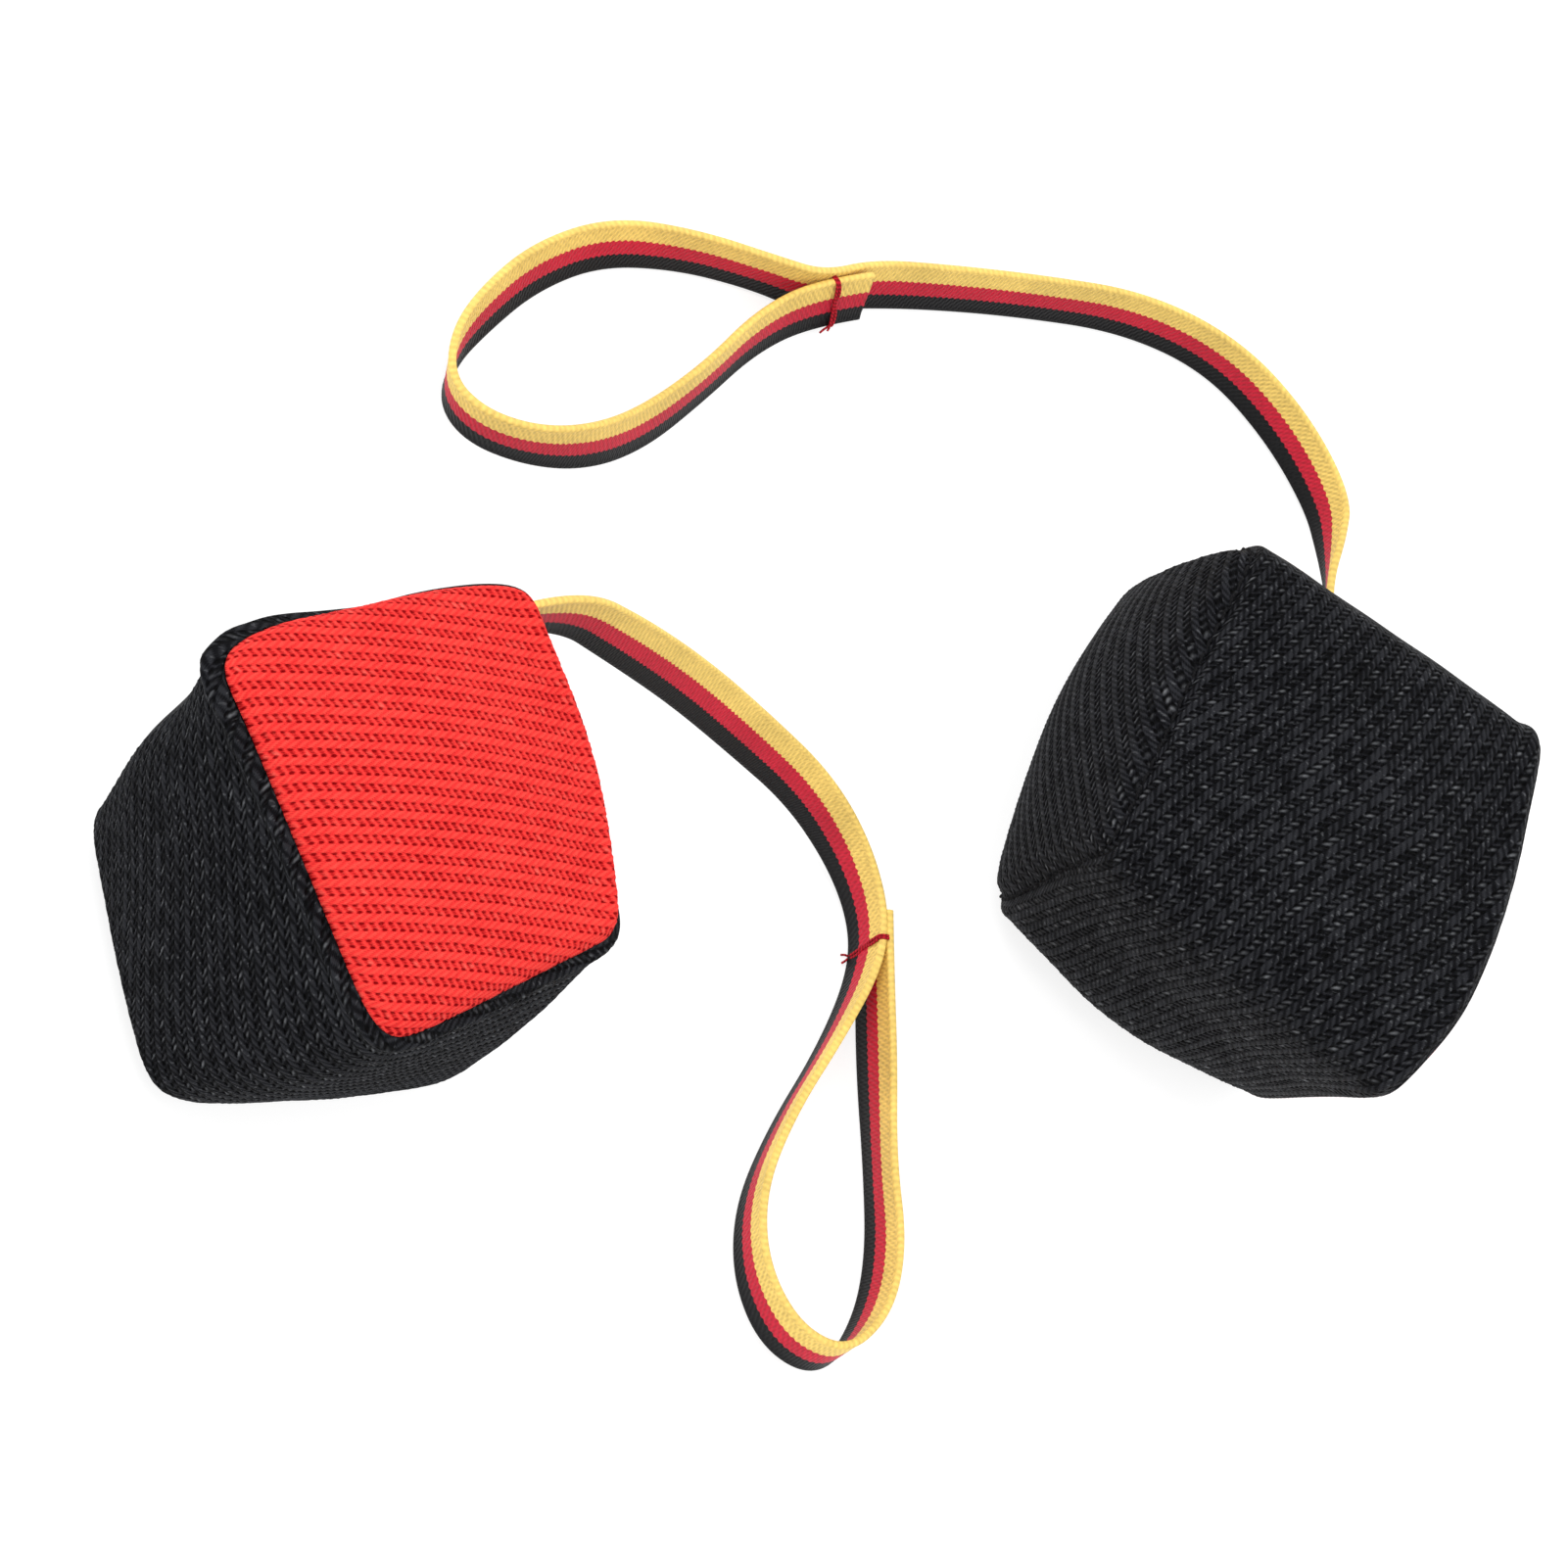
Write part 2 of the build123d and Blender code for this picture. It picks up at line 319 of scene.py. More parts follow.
class RibNodes:
    """The same rib in a material, made a little uneven: its height, and where a point is in its pattern."""

    def __init__(self, nodes):
        self.along = nodes.stray(nodes.mark("s"), nodes.noise(420.0, 2.0), 0.5)
        self.across = nodes.stray(nodes.mark("t"), nodes.noise(300.0, 1.0), 0.4)
        self.rows = nodes.calc("DIVIDE", self.across, ROW)
        self.row = nodes.calc("FRACT", self.rows)
        stitches = nodes.calc("DIVIDE", self.along, STITCH)
        self.bead = nodes.calc("MULTIPLY_ADD", self.rows, SHIFT, stitches)
        self.slant = nodes.calc("MULTIPLY_ADD", self.rows, FLOAT_SHIFT, stitches)
        knots = nodes.bell(nodes.calc("SUBTRACT", self.row, KNOTS), KNOT_SPREAD)
        from_middle = nodes.calc("ABSOLUTE", nodes.calc("SUBTRACT", self.row, 0.5))
        low = nodes.bell(nodes.calc("SUBTRACT", 0.5, from_middle), PIT_SPREAD)
        high = nodes.bell(nodes.calc("SUBTRACT", self.row, 2 * KNOTS), PIT_SPREAD)
        sway = nodes.wave(self.slant, -FLOAT_SWAY, FLOAT_SWAY)
        floats = nodes.calc("MULTIPLY", sway, nodes.calc("SUBTRACT", 1.0, knots))
        ahead = nodes.wave(nodes.calc("ADD", self.bead, PIT_LAG), PIT_SHALLOW, PIT_DEEP)
        behind = nodes.wave(nodes.calc("SUBTRACT", self.bead, PIT_LAG), PIT_SHALLOW, PIT_DEEP)
        pits = nodes.calc("ADD", nodes.calc("MULTIPLY", low, ahead), nodes.calc("MULTIPLY", high, behind))
        dips = nodes.calc("MULTIPLY", knots, nodes.wave(self.bead, KNOT_DIP, 0.0))
        self.height = nodes.calc(
            "SUBTRACT", nodes.calc("ADD", floats, FLOAT_LEVEL), nodes.calc("ADD", pits, dips)
        )


def glints(nodes, rib, patchy):
    """How much painted highlight each point gets: glinting dots on some of the crossings, and short strokes
    on the highest floats.
    """
    dots = nodes.bell(nodes.calc("SUBTRACT", rib.row, KNOTS), 0.15)
    beads = nodes.calc("POWER", nodes.wave(nodes.calc("ADD", rib.bead, rib.row)), 1.6)
    dots = nodes.calc("MULTIPLY", dots, beads)
    patches = nodes.calc("MULTIPLY", nodes.calc("SUBTRACT", nodes.noise(700.0, 1.0), 0.40), 4.0)
    dots = nodes.calc("MULTIPLY", dots, nodes.clamp(patches))
    chosen = nodes.calc("POWER", nodes.chance(nodes.calc("ADD", rib.bead, 0.5), rib.rows), 1.5)
    dots = nodes.calc("MULTIPLY", dots, chosen)
    stretched = nodes.join(nodes.calc("MULTIPLY", rib.along, 1.5), nodes.calc("MULTIPLY", rib.across, 0.8))
    strokes = nodes.calc("SUBTRACT", nodes.noise(1.0, 3.0, stretched), 0.57)
    strokes = nodes.calc("MINIMUM", nodes.calc("MULTIPLY", strokes, 20 * patchy), 0.4)
    tops = nodes.calc("MAXIMUM", nodes.calc("MULTIPLY_ADD", rib.height, 3.3, -2.3), 0.0)
    return nodes.calc("MAXIMUM", dots, nodes.calc("MULTIPLY", strokes, tops))


def cloth(name, colours, glint, roughness, patchy):
    """Coarse ribbed cloth in a dark, a middle and a light colour: painted shade in the pits, painted light on
    the float tops. It has yarn lines, patches and painted glints.
    """
    nodes = Nodes(name)
    rib = RibNodes(nodes)
    yarns = nodes.calc("ADD", nodes.calc("MULTIPLY", rib.along, 0.9), nodes.calc("MULTIPLY", rib.across, 3.1))
    fibres = nodes.stray(nodes.wave(yarns, -0.05, 0.05), nodes.noise(5200.0, 3.0), 0.35)
    height = nodes.calc("ADD", rib.height, fibres)
    # Painted shade and light: the colour follows the rib's height, darker in the pits and lighter on the
    # float tops, with random tone over it
    shade_and_tone = nodes.stray(height, nodes.noise(60.0, 3.0), 0.25)
    shade_and_tone = nodes.stray(shade_and_tone, nodes.noise(480.0, 1.0), 2 * patchy)
    shade_and_tone = nodes.stray(shade_and_tone, nodes.chance(rib.slant, rib.rows), patchy)
    colour = nodes.ramp(shade_and_tone, list(zip((0.28, 0.70, 1.0), colours)))
    # Painted highlights: the glints are mixed into the colour
    colour = nodes.mix(glints(nodes, rib, patchy), colour, (*glint, 1))
    return nodes.surface(colour, roughness, specular=0.06, height=height, depth=0.0004)


# The ribbon, in mm
WIDTH = 10.0
THICK = 1.3
ROUNDING = 0.5  # how far in from an edge its rounding starts
RIBBON_STEP = 0.55  # from one section of its mesh to the next
RIBBON_RIB = 1.1  # from one rib of its mesh to the next


def ribbon_cloth():
    """Satin ribbon: gold, crimson and black stripes with toothed edges, a slanting rib, and selvedges."""
    nodes = Nodes("striped_ribbon")
    along, across = nodes.mark("s"), nodes.mark("t")
    teeth = nodes.wave(nodes.calc("DIVIDE", along, 1.25), -0.14, 0.14)
    place = nodes.calc("MULTIPLY_ADD", nodes.calc("ADD", across, teeth), 1 / WIDTH, 0.5)
    black, crimson, gold = (0.006, 0.006, 0.007), (0.62, 0.016, 0.042), (0.95, 0.66, 0.17)
    stripes = nodes.ramp(place, [(0.0, black), (0.325, crimson), (0.625, gold)], "CONSTANT")
    slope = nodes.calc("DIVIDE", across, 1.6)
    lines = nodes.wave(nodes.calc("ADD", nodes.calc("DIVIDE", along, 1.05), slope))
    rib = nodes.wave(nodes.calc("DIVIDE", along, 0.62))
    weave = nodes.calc("ADD", nodes.calc("MULTIPLY", lines, 0.6), nodes.calc("MULTIPLY", rib, 0.4))
    turns = nodes.wave(nodes.calc("SUBTRACT", nodes.calc("DIVIDE", along, 1.15), slope), 0.25, 0.75)
    selvedge = nodes.calc("SUBTRACT", nodes.calc("ABSOLUTE", across), 4.15)
    selvedge = nodes.clamp(nodes.calc("MULTIPLY", selvedge, 5.0))
    height = nodes.calc("MULTIPLY_ADD", nodes.calc("SUBTRACT", turns, weave), selvedge, weave)
    shade = nodes.calc("MULTIPLY_ADD", height, 0.32, 0.72)
    shade = nodes.stray(shade, nodes.noise(90.0, 3.0), 0.35)
    shade = nodes.stray(shade, nodes.noise(1300.0, 2.0), 0.45)
    colour = nodes.mix(1.0, stripes, nodes.join(shade, shade, shade), "MULTIPLY")
    return nodes.surface(colour, roughness=0.5, specular=0.18, height=height, depth=0.00015)


def thread(name, dark, light):
    """Twisted sewing thread: slanting plies."""
    nodes = Nodes(name)
    ply = nodes.wave(nodes.calc("ADD", nodes.calc("DIVIDE", nodes.mark("s"), 0.8), nodes.mark("t")))
    # Painted shade and light: darker in the grooves between plies, lighter on their tops
    colour = nodes.ramp(ply, [(0.0, dark), (1.0, light)])
    return nodes.surface(colour, roughness=0.7, specular=0.15, height=ply, depth=0.0001)


def grains():
    """Packed plastic grains, seen only where the cloth is opened."""
    nodes = Nodes("packed_grains")
    cells = nodes.tree.nodes.new("ShaderNodeTexVoronoi")
    cells.inputs["Scale"].default_value = 420.0
    nodes.put(cells.inputs["Vector"], nodes.place())
    away = cells.outputs["Distance"]
    # Painted shade: each grain is lighter in its middle and darker towards the gaps between grains
    colour = nodes.ramp(away, [(0.0, (0.74, 0.72, 0.64)), (0.8, (0.30, 0.29, 0.25))])
    height = nodes.calc("SUBTRACT", 1.0, away)
    return nodes.surface(colour, roughness=0.5, specular=0.5, height=height, depth=0.0008)


# ---------------------------------------------------------------- ribbons
# Route points from bag to cut end, in mm, and the ribbon's lean about its own line, in degrees
ROUTE_A = [
    (-74.0, 35.2, 48.6, -6),
    (-60.0, 37.4, 48.5, -16),
    (-43.0, 32.9, 40.4, -34),
    (-25.0, 27.8, 30.4, -36),
    (-8.0, 21.4, 20.6, -32),
    (8.5, 13.2, 12.4, -24),
    (19.0, 3.0, 6.2, -13),
    (21.6, -8.0, 5.3, -3),
    (18.8, -17.0, 5.3, 2),
    (9.2, -28.6, 5.3, 10),
    (-4.0, -41.5, 5.3, 12),
    (-13.3, -54.0, 5.3, 10),
    (-15.8, -66.5, 5.4, 2),
    (-12.4, -77.8, 6.3, -11),
    (-2.8, -82.8, 6.2, -13),
    (7.4, -75.6, 5.2, 3),
    (12.7, -64.6, 5.2, 4),
    (14.5, -50.0, 5.3, -7),
    (17.6, -33.0, 5.3, 4),
    (20.4, -18.5, 5.3, 1),
    (22.6, -7.5, 5.3, 1),
]
ROUTE_B = [
    (130.0, 1.5, 9.0, 0),
    (137.5, 18.0, 6.0, 0),
    (133.0, 28.0, 6.2, -8),
    (131.0, 37.0, 6.6, -28),
    (133.6, 45.0, 6.8, -38),
    (136.6, 53.0, 6.2, -14),
    (138.6, 61.5, 5.2, 14),
    (132.5, 76.0, 4.9, 21),
    (121.0, 89.0, 4.9, 17),
    (103.0, 97.2, 4.7, 25),
    (80.0, 100.4, 4.7, 26),
    (61.0, 102.2, 4.5, 30),
    (46.5, 103.0, 4.2, 37),
    (33.5, 101.6, 5.4, 20),
    (24.0, 105.0, 5.2, 12),
    (9.0, 109.2, 4.9, 20),
    (-7.0, 111.0, 4.2, 37),
    (-22.0, 106.8, 3.9, 45),
    (-34.5, 99.2, 4.7, 44),
    (-41.9, 92.6, 4.4, 34),
    (-45.2, 85.0, 5.0, 22),
    (-42.2, 78.2, 7.8, -4),
    (-33.0, 74.2, 9.6, -17),
    (-20.0, 74.2, 8.2, -33),
    (-6.0, 78.4, 4.9, -38),
    (8.0, 86.0, 4.3, -33),
    (21.0, 94.8, 4.4, -37),
    (33.5, 99.4, 5.1, -38),
    (45.0, 100.5, 5.6, -35),
]


def smooth_line(points):
    """A smooth spline that has the points as its control points."""
    data = bpy.data.curves.new("route", "CURVE")
    data.dimensions = "3D"
    data.resolution_u = 24
    spline = data.splines.new("NURBS")
    spline.points.add(len(points) - 1)
    for control, (x, y, z) in zip(spline.points, points):
        control.co = (x * MM, y * MM, z * MM, 1)
    spline.order_u = 3
    spline.use_endpoint_u = True
    thing = bpy.data.objects.new("route", data)
    mesh = bpy.data.meshes.new_from_object(thing)
    line = np.array([v.co for v in mesh.vertices], float) / MM
    bpy.data.objects.remove(thing)
    bpy.data.meshes.remove(mesh)
    bpy.data.curves.remove(data)
    return line


def follow(route):
    """Even steps along the route's smooth line, with the line's point and the ribbon's lean at each."""
    line = smooth_line([(x, y, z) for x, y, z, lean in route])
    leans = smooth_line([(x, y, lean) for x, y, z, lean in route])[:, 2]
    along = walked(line)
    steps = np.arange(0, along[-1], RIBBON_STEP)
    line = np.stack([np.interp(steps, along, line[:, axis]) for axis in range(3)], 1)
    return steps, line, np.interp(steps, along, leans)


def ribbon_frame(line, leans):
    """Along the ribbon, over its width and out of its face, at each step."""
    travel = unit(np.gradient(line, axis=0))
    up = unit(np.array([0.0, 0.0, 1.0]) - travel * travel[:, 2:3])
    side = np.cross(travel, up)
    lean = np.radians(leans)[:, None]
    over = np.cos(lean) * up + np.sin(lean) * side
    return travel, over, np.cross(travel, over)


def ribbon_outline():
    """The ribbon's section: places over its width and through its thickness, with rounded edges."""
    half, edge = WIDTH / 2, THICK / 2
    flat = np.linspace(-half + ROUNDING, half - ROUNDING, 23)
    turn = np.linspace(-math.pi / 2, math.pi / 2, 7)[1:-1]
    face = edge * 0.86
    top = [(w, face) for w in flat]
    right = [(half - ROUNDING + ROUNDING * math.cos(a), -edge * math.sin(a)) for a in turn]
    bottom = [(w, -face) for w in flat[::-1]]
    left = [(-half + ROUNDING - ROUNDING * math.cos(a), edge * math.sin(a)) for a in turn]
    return np.array(top + right + bottom + left)


def ribbon_mesh(name, steps, line, over, out):
    """A woven band: the outline carried along the line, with fine ribs, thick selvedges and ragged edges."""
    outline = ribbon_outline()
    rows, count = len(line), len(outline)
    wide, deep = outline[:, 0][None, :], outline[:, 1][None, :]
    turns = TAU * steps[:, None] / RIBBON_RIB
    ribs = 0.025 * np.cos(turns + np.sign(deep) * wide * 3.0)
    selvedge = 1 + 0.22 * bell(np.abs(wide) - WIDTH / 2 + ROUNDING, ROUNDING)
    deep = deep * selvedge + np.sign(deep) * ribs
    ragged = 0.05 * np.sin(turns) * np.sign(wide) * (np.abs(wide) > WIDTH / 2 - 0.6)
    points = line[:, None] + over[:, None] * (wide + ragged)[..., None] + out[:, None] * deep[..., None]
    marks = {"s": np.repeat(steps, count), "t": np.tile(wide[0], rows)}
    return new_object(name, points.reshape(-1, 3), tube_faces(rows, count), marks, RIBBON)


def tube(name, line, radius, material):
    """A round thread along a line in mm, with closed ends."""
    ring = 8
    travel = unit(np.gradient(line, axis=0))
    # Any direction will do that no thread runs along
    side = unit(np.cross(travel, np.array([0.31, 0.17, 0.93])))
    other = np.cross(travel, side)
    turn = np.linspace(0, TAU, ring, endpoint=False)
    around = np.cos(turn)[None, :, None] * side[:, None] + np.sin(turn)[None, :, None] * other[:, None]
    points = (line[:, None] + radius * around).reshape(-1, 3)
    marks = {"s": np.repeat(walked(line), ring), "t": np.tile(turn / TAU, len(line))}
    return new_object(name, points, tube_faces(len(line), ring), marks, material)


def curve_through(points, steps=10):
    """A smooth line through a few points, by Catmull and Rom's rule."""
    p = np.asarray(points, float)
    p = np.vstack([2 * p[0] - p[1], p, 2 * p[-1] - p[-2]])
    line = []
    for a, b, c, d in zip(p, p[1:], p[2:], p[3:]):
        bend = 2 * a - 5 * b + 4 * c - d
        swing = 3 * b - 3 * c + d - a
        for u in np.arange(steps) / steps:
            line.append(0.5 * (2 * b + (c - a) * u + bend * u**2 + swing * u**3))
    return np.array(line + [p[-2]])


def joined(pieces, name):
    """Several meshes made one."""
    bpy.ops.object.select_all(action="DESELECT")
    for piece in pieces:
        piece.select_set(True)
    bpy.context.view_layer.objects.active = pieces[0]
    bpy.ops.object.join()
    pieces[0].name = name
    return pieces[0]


# One turn of the tack: places over the ribbon's width and out of its face, in mm, and shares of the gap
# between the two turns
TACK_TURN = [
    (-5.0, -0.9, 1.0),
    (-4.9, 0.75, 1.0),
    (-2.3, 1.0, 1.5),
    (0.2, 0.9, 0.6),
    (2.5, 1.05, 1.4),
    (4.8, 0.8, 1.0),
    (5.1, -0.8, 1.0),
]


def make_tack(letter, middle, over, out, tail_way):
    """Two turns of red thread over the strands' front face, with two short tails."""
    middle, over, out, tail_way = (np.array(v, float) for v in (middle, over, out, tail_way))
    along = unit(np.cross(over, out))
    threads = []
    for number in (0, 1):
        gap = 0.45 * number * along
        points = [middle + wide * over + high * out + share * gap for wide, high, share in TACK_TURN]
        turn = curve_through(points)
        threads.append(tube(f"turn_{letter}_{number}", turn, radius=0.26, material=RED_THREAD))
    start = middle - 4.8 * over + 0.8 * out
    for number, bend in enumerate((0.4, -0.6)):
        points = [start, start + 0.9 * tail_way + bend * along, start + 1.9 * tail_way + 1.5 * bend * along]
        tail = curve_through(points, steps=6)
        threads.append(tube(f"tail_{letter}_{number}", tail, radius=0.2, material=RED_THREAD))
    return joined(threads, f"thread_tack_{letter}")


def bend_over(piece):
    """Bakes the piece's place into its mesh."""
    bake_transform(piece)


def make_ribbon(letter, route, fold, tack_at):
    """The ribbon's two pieces, parted at the fold, and the tack."""
    steps, line, leans = follow(route)
    travel, over, out = ribbon_frame(line, leans)
    # The route passes the fold twice, and is parted where it passes first
    first_pass = steps < steps[-1] * 0.7
    cut = int(np.argmin(np.where(first_pass, np.linalg.norm(line - np.array(fold), axis=1), np.inf)))
    near, far = slice(0, cut + 1), slice(cut, None)
    tether = ribbon_mesh(f"ribbon_tether_{letter}", steps[near], line[near], over[near], out[near])
    loop = ribbon_mesh(f"ribbon_loop_{letter}", steps[far], line[far], over[far], out[far])
    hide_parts(f"tether_{letter}", f"anchor_{letter}")
    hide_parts(f"loop_{letter}", f"ribbon_end_{letter}")
    bend_over(tether)
    bend_over(loop)
    tack = make_tack(letter, *tack_at)
    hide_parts(f"tack_{letter}")
    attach(tack, f"tether_{letter}")


# ---------------------------------------------------------------- bags
HALF = 28.5  # half of a bag's edge, in mm
RELIEF = 0.42  # the height of the cloth's rib in the mesh, in mm
WEAVE_LEVEL = 0.6  # the rib's height that lies in the cloth's surface
SHARP = 9.0  # how square the bag is at its red and black seams
FOLD = 5.6  # how square it is halfway between them
SWELL = 1.165  # how full it is there
CORNER = 2 ** (1 / SHARP)  # what brings a square that is rounded by SHARP out to its corners
HEM = (1.2, 3.0)  # how far in the two rows of a panel's turned-in edge are, in mm
FLOOR_GAP = 0.03  # the least height of a panel above the floor, in mm

# A bag's own frame has its red cap at +Z. Each corner's signs in that frame, and its place in mm.
CORNERS_A = {
    (-1, 1, 1): (-129.7, 32.3, 54),
    (1, 1, 1): (-72.2, 38.7, 54),
    (1, -1, 1): (-65.8, -15.9, 54),
    (-1, -1, 1): (-112.5, -31.0, 54),
    (-1, 1, -1): (-125.6, 16.8, 4),
    (1, 1, -1): (-66.0, 18.0, 4),
    (1, -1, -1): (-65.4, -27.7, 4),
    (-1, -1, -1): (-122.9, -28.1, 4),
}
CORNERS_B = {
    (-1, -1, -1): (39.5, -6.0, 50),
    (-1, 1, -1): (75.9, 40.4, 56),
    (-1, 1, 1): (125.4, 4.3, 62),
    (-1, -1, 1): (86.0, -50.7, 55),
    (1, -1, -1): (49.6, -5.1, 4),
    (1, 1, -1): (90.0, 46.0, 4),
    (1, -1, 1): (99.4, -41.7, 4),
    (1, 1, 1): (138.0, 8.0, 4),
}
# Where a bag bulges or is pulled more than its corners say: a middle, a reach and a shift, in mm
PUSHES_A = [
    ((-130.0, 33.0, 54.0), 9.0, (-0.3, -2.0, -0.2)),
    ((-131.0, 29.0, 36.0), 9.0, (1.6, -1.0, 0.0)),
    ((-72.2, 38.7, 54.0), 5.0, (0.8, 0.1, 0.5)),
    ((-64.8, -15.9, 54.0), 5.0, (0.5, -0.8, 0.3)),
    ((-68.0, 12.0, 54.0), 21.0, (6.0, 0.0, -4.4)),
    ((-88.0, 38.0, 54.0), 15.0, (0.0, 1.2, -1.0)),
    ((-90.0, -34.0, 22.0), 28.0, (0.0, -3.0, 0.0)),
    ((-127.0, -12.0, 10.0), 20.0, (-1.0, -0.2, 0.0)),
]
PUSHES_B = [
    ((105.0, -22.0, 58.0), 27.0, (5.2, -4.4, 0.0)),
    ((94.0, -39.0, 56.0), 15.0, (2.0, -1.7, 0.0)),
    ((80.0, 41.0, 55.0), 12.0, (1.0, 0.9, 0.2)),
    ((68.0, 22.0, 28.0), 26.0, (-2.6, 2.1, 0.0)),
    ((74.0, -23.0, 8.0), 22.0, (-2.2, -3.6, 0.0)),
]


class Bag:
    """One bag's place and shape, which all its pieces share."""

    def __init__(self, letter, corners, pushes):
        self.letter = letter
        self.corners = corners
        self.pushes = pushes
        self.middle = self.between_corners(np.zeros(3))

    def between_corners(self, own):
        """Own-frame points, from -1 to 1 across the bag, put between its eight corners."""
        total = 0.0
        for signs, place in self.corners.items():
            weight = 1.0
            for axis in range(3):
                weight = weight * (1 + signs[axis] * own[..., axis]) / 2
            total = total + weight[..., None] * np.array(place, float)
        return total

    def put(self, own):
        """Own-frame points put between the corners and pushed, and kept above the floor."""
        points = self.between_corners(own)
        moved = points.copy()
        for middle, reach, shift in self.pushes:
            away = np.sum((points - np.array(middle)) ** 2, axis=-1, keepdims=True)
            moved += np.array(shift) * np.exp(-away / reach**2)
        # Heights stay as they are well above the floor, and ease to a little above it below that
        z = moved[..., 2]
        moved[..., 2] = 0.5 * (z + np.sqrt(z * z + 0.5))
        return moved

    def inward(self, points):
        """The direction from each point to the bag's middle."""
        return unit(self.middle - points)

    def own(self, piece, node, slot):
        """The piece stands for a node of this bag and rides on the bag. The slot is not used."""
        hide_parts(f"{node}_{self.letter}")
        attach(piece, f"bag_{self.letter}")


def lift(points, height):
    """Moves points that are lower than a height up to it."""
    points[..., 2] = np.maximum(points[..., 2], height)


def grid_normals(points, around, middle):
    """A grid's directions away from the middle, and -1 if its faces look towards it, or else 1."""
    if around:
        wide = np.concatenate([points[:, -1:], points, points[:, :1]], axis=1)
        across = (wide[:, 2:] - wide[:, :-2]) / 2
    else:
        across = np.gradient(points, axis=1)
    normal = unit(np.cross(across, np.gradient(points, axis=0)))
    turn = np.sign(np.sum(normal * (points - middle)))
    return normal * turn, turn


def uneven(points, scale, seed):
    """Slow random swelling from -1 to 1, the same on every run."""
    waves = np.random.default_rng(seed)
    count = 10
    total = 0.0
    for _ in range(count):
        direction = unit(waves.normal(size=3))
        length = scale * waves.uniform(0.6, 1.6)
        total = total + np.sin((points @ direction) * TAU / length + waves.uniform(0, TAU))
    return total / count


def seam_shape(points, depth, rise, pinch, seed):
    """How far the cloth stands out near a seam, in a puckered ridge, and how far it sinks into the seam."""
    pucker = uneven(points, 7.0, seed)
    # A ridge that stands out more than 1.2 mm is also broader, and further from the seam
    broad = np.maximum(rise - 1.2, 0)
    ridge = rise + (0.12 + 0.15 * rise) * pucker
    ridge = ridge * bell(depth - 2.1 - 0.5 * broad - 0.5 * pucker, 1.35 + 0.6 * broad)
    return ridge, pinch * bell(depth, 0.8 + 0.35 * pinch)


def square(turns):
    """Places on a square's outline, from its corner (1, 1) at 0 round to the same corner at 4."""
    return np.interp(turns, range(5), [1, -1, -1, 1, 1]), np.interp(turns, range(5), [1, 1, -1, -1, 1])


def side_points(x, y, level):
    """Own-frame points on the bag's four sides: a rounded square, rounder and fuller between its seams."""
    edge = np.abs(level)
    sharp = FOLD + (SHARP - FOLD) * edge**4
    norm = (np.abs(x) ** sharp + np.abs(y) ** sharp) ** (1 / sharp)
    reach = CORNER * edge**2.4 + SWELL * (1 - edge**2.4)
    return np.stack(np.broadcast_arrays(x / norm * reach, y / norm * reach, level), -1)


def cap_points(side, count, bulge, flank):
    """A cap's own-frame grid, crowned between its edges, and how far out each point is, from 0 to 1."""
    x, y = np.meshgrid(np.linspace(-1, 1, count), np.linspace(-1, 1, count))
    far = np.maximum(np.abs(x), np.abs(y))
    norm = (np.abs(x) ** SHARP + np.abs(y) ** SHARP) ** (1 / SHARP)
    share = np.where(far > 0, far / np.maximum(norm, 1e-9), 1)
    pull = 1 - (1 - share) * far**6
    reach = CORNER * far**4 + (1 - far**4)
    crown = bulge * ((1 - x**2) * (1 - y**2)) ** flank
    return np.stack([x * pull * reach, y * pull * reach, side * (1 + crown)], -1), far


def strip_weave(base, turns, level, slopes, row):
    """Where each point is along and across the strip's rows, whose slope differs from side to side."""
    around = walked(base[len(base) // 2])
    slope = np.interp(turns, [0.5, 1.5, 2.5, 3.5], slopes, period=4)
    drift = np.concatenate([[0], np.cumsum(np.diff(around) * (slope[1:] + slope[:-1]) / 2)])
    half_height = np.mean(np.linalg.norm(np.diff(base, axis=0), axis=-1)) * (len(base) - 1) / 2
    across = (level * half_height - drift) * math.cos(math.atan(np.mean(np.abs(slopes)))) * ROW / row
    return np.broadcast_to(around, across.shape), across


def cap_weave(base, side, grain):
    """Where each point is along and across a cap's rows, which are turned by the grain, in degrees."""
    wide = unit(base[:, -1].mean(0) - base[:, 0].mean(0))
    out = unit(np.cross(wide, base[-1].mean(0) - base[0].mean(0)))
    x, y = ((base - base.mean((0, 1))) @ axis for axis in (wide, np.cross(out, wide)))
    angle = math.radians(grain)
    along = side * (x * math.cos(angle) + y * math.sin(angle))
    across = y * math.cos(angle) - x * math.sin(angle)
    return along, across


def rib_relief(along, across):
    """How far the rib stands out from the cloth's surface, in mm."""
    return RELIEF * (weave_height(along, across) - WEAVE_LEVEL)


